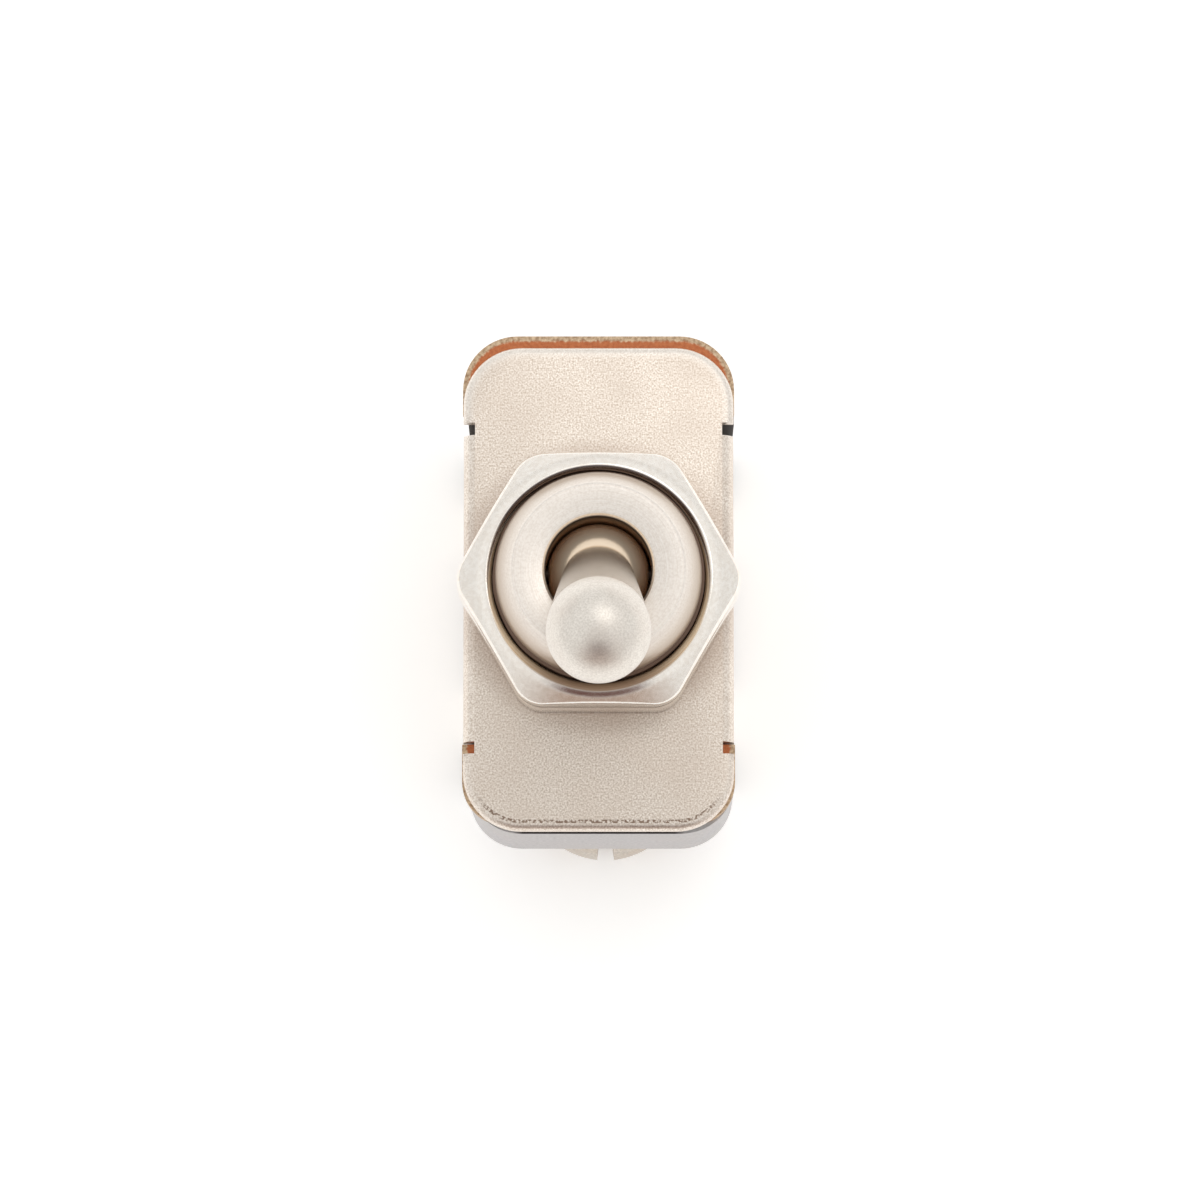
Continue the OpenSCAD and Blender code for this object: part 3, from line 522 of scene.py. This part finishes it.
def tumbled_nut(name, node, crowned):
    """A nut with its edges tumbled round; the crowned one is countersunk and turned to a crown too."""
    low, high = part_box(node)
    bottom, top = low.z / MM, high.z / MM
    bore, sink, foot, edge, edge_start = 5.98, 0.4, 0.12, 0.45, 39
    angles = [j / 2 for j in range(720)]
    turns, steps = len(angles), 15
    rows = [[(bore, bottom)] * turns]
    if crowned:
        rows.append([(bore, top - sink)] * turns)
        for a in range(45, -1, -9):
            s, c = sine_cosine(a)
            rows.append([(MOUTH - sink * s, top - sink * (1 - c))] * turns)
        # the crown reaches the rounded edge of the sides where both slope alike
        start_s, start_c = sine_cosine(edge_start)
        ends = [nut_side(a, edge * (1 - start_s)) for a in angles]
        for k in range(1, steps + 1):
            reaches = [MOUTH + (end - MOUTH) * k / steps for end in ends]
            rows.append([(reach, top - nut_crown(reach)) for reach in reaches])
        for a in range(45, 91, 9):
            s, c = sine_cosine(a)
            sides = [nut_side(angle, edge * (1 - s)) for angle in angles]
            drop = edge * (start_c - c)
            rows.append([(side, top - nut_crown(end) - drop) for side, end in zip(sides, ends)])
    else:
        rows.append([(bore, top)] * turns)
        for a in (0, 45, 90):
            s, c = sine_cosine(a)
            rows.append([(nut_side(angle, foot * (1 - s)), top - foot * (1 - c)) for angle in angles])
    for a in (0, 45, 90):
        s, c = sine_cosine(a)
        rows.append([(nut_side(angle, foot * (1 - c)), bottom + foot * (1 - s)) for angle in angles])
    stand_in(name, lathed(rows), node, 40)


def bat_lever():
    """The lever with a pivot ball that fills the bore, fuller than the solid's."""
    turns, steps = 120, 24
    ball, neck, bat, tip = 2.85, 2.02, 2.06, 2.83
    tail, tail_end, hollow, hollow_top = 1.5, -7.6, 0.98, -1.4
    slope = math.asin((tip - bat) / (TIP_REACH - NECK_TOP))
    profile = [(hollow, hollow_top), (hollow, tail_end), (tail, tail_end)]
    for a in range(-58, 45, 4):
        s, c = sine_cosine(a)
        profile.append((ball * c, ball * s))
    profile += [(neck, math.sqrt(ball ** 2 - neck ** 2)), (neck, NECK_TOP), (bat, NECK_TOP)]
    for k in range(steps):
        a = -slope + (math.pi / 2 + slope) * k / steps
        profile.append((tip * math.cos(a), TIP_REACH + tip * math.sin(a)))
    rows = [[(0, hollow_top)]] + [[point] * turns for point in profile] + [[(0, TIP_REACH + tip)]]
    work = lathed(rows, ring=False)
    place = Matrix.Translation(pivot) @ Matrix.Rotation(lean, 4, "X")
    bmesh.ops.transform(work, matrix=place, verts=work.verts)
    stand_in("bat_lever", work, "lever", 30, body="lever")


folded_frame()
threaded_bushing()
tumbled_nut("tumbled_upper_nut", "upper_nut", crowned=True)
tumbled_nut("tumbled_lower_nut", "lower_nut", crowned=False)
bat_lever()


# ---------- studio ----------

def matt_white_paper(tree):
    # uncoated white card: matt, and glowing a little itself so that it stays white under soft light
    return add(tree, "BsdfPrincipled", Base_Color=paint("#FBFBFA"), Roughness=0.9,
               Emission_Color=paint("#FFFFFF"), Emission_Strength=0.34)


def studio_floor():
    """A card under the part, a hair below its lowest point."""
    bpy.ops.mesh.primitive_plane_add(size=3, location=(0, 0, cad_box[0].z - 0.02 * MM))
    floor = bpy.context.object
    floor.name = "studio_floor"
    floor.data.materials.append(finished(matt_white_paper))


def softbox(name, place, size, power, aim, tint):
    """A soft rectangular lamp that faces the point aim, in metres and watts."""
    lamp = bpy.data.lights.new(name, "AREA")
    lamp.shape = "RECTANGLE"
    lamp.size, lamp.size_y = size
    lamp.energy = power
    lamp.color = paint(tint)[:3]
    holder = bpy.data.objects.new(name, lamp)
    bpy.context.scene.collection.objects.link(holder)
    holder.location = place
    holder.rotation_euler = (Vector(aim) - Vector(place)).to_track_quat("-Z", "Y").to_euler()


def studio_walls():
    """Even pale surroundings with one dark doorway towards -Y, which bright metal picks up as dark lines."""
    world = bpy.data.worlds.new("studio")
    bpy.context.scene.world = world
    world.use_nodes = True
    tree = world.node_tree
    tree.nodes.clear()
    where = add(tree, "TexCoord").outputs["Generated"]
    parts = add(tree, "SeparateXYZ", {}, where)
    height = parts.outputs["Z"]
    flat = add(tree, "CombineXYZ", X=parts.outputs["X"], Y=parts.outputs["Y"])
    reach = add(tree, "VectorMath", {"operation": "LENGTH"}, flat)
    ahead = add(tree, "Math", {"operation": "DIVIDE"}, parts.outputs["Y"], reach)
    # the doorway, high up towards -Y
    doorway = add(tree, "MapRange", {}, ahead, -0.84, -0.94)
    sill = add(tree, "MapRange", {}, height, 0.42, 0.50)
    lintel = add(tree, "MapRange", {}, height, 0.86, 0.78)
    doorway = add(tree, "Math", {"operation": "MULTIPLY"}, doorway, sill)
    doorway = add(tree, "Math", {"operation": "MULTIPLY"}, doorway, lintel)
    # the wall below its sill is tan
    below = add(tree, "MapRange", {}, height, 0.48, 0.36)
    wall = add(tree, "MapRange", {}, ahead, -0.72, -0.95)
    wall = add(tree, "Math", {"operation": "MULTIPLY"}, wall, below)
    colour = add(tree, "Mix", COLOUR, wall, paint("#FFFEFC"), paint("#BDA698"))
    colour = add(tree, "Mix", COLOUR, doorway, colour, paint("#5A3028"))
    # the light falls off a little straight overhead and near the ground
    overhead = add(tree, "MapRange", {}, height, 0.95, 0.7, 0.82, 0.92)
    ground = add(tree, "MapRange", {}, height, 0.5, 0.1, 1.0, 0.85)
    level = add(tree, "Math", {"operation": "MULTIPLY"}, overhead, ground)
    add(tree, "OutputWorld", {}, add(tree, "Background", Color=colour, Strength=level))


def camera():
    """A long lens almost straight over the part, tipped a little towards -Y."""
    tilt = math.radians(8.31)
    distance = 417 * MM
    target = Vector((0.08, -0.72, 0)) * MM
    lens = bpy.data.cameras.new("camera")
    lens.lens = 221.5
    lens.sensor_width = 36
    lens.clip_start = 0.01
    lens.clip_end = 10
    holder = bpy.data.objects.new("camera", lens)
    bpy.context.scene.collection.objects.link(holder)
    holder.location = target + distance * Vector((0, -math.sin(tilt), math.cos(tilt)))
    holder.rotation_euler = (tilt, 0, 0)
    bpy.context.scene.camera = holder


studio_floor()
softbox("key", place=(0.028, 0.05, 0.13), size=(0.075, 0.05), power=0.013, aim=(0, 0.006, 0), tint="#FFFBF6")
studio_walls()
bpy.context.scene.view_settings.view_transform = "Standard"
camera()
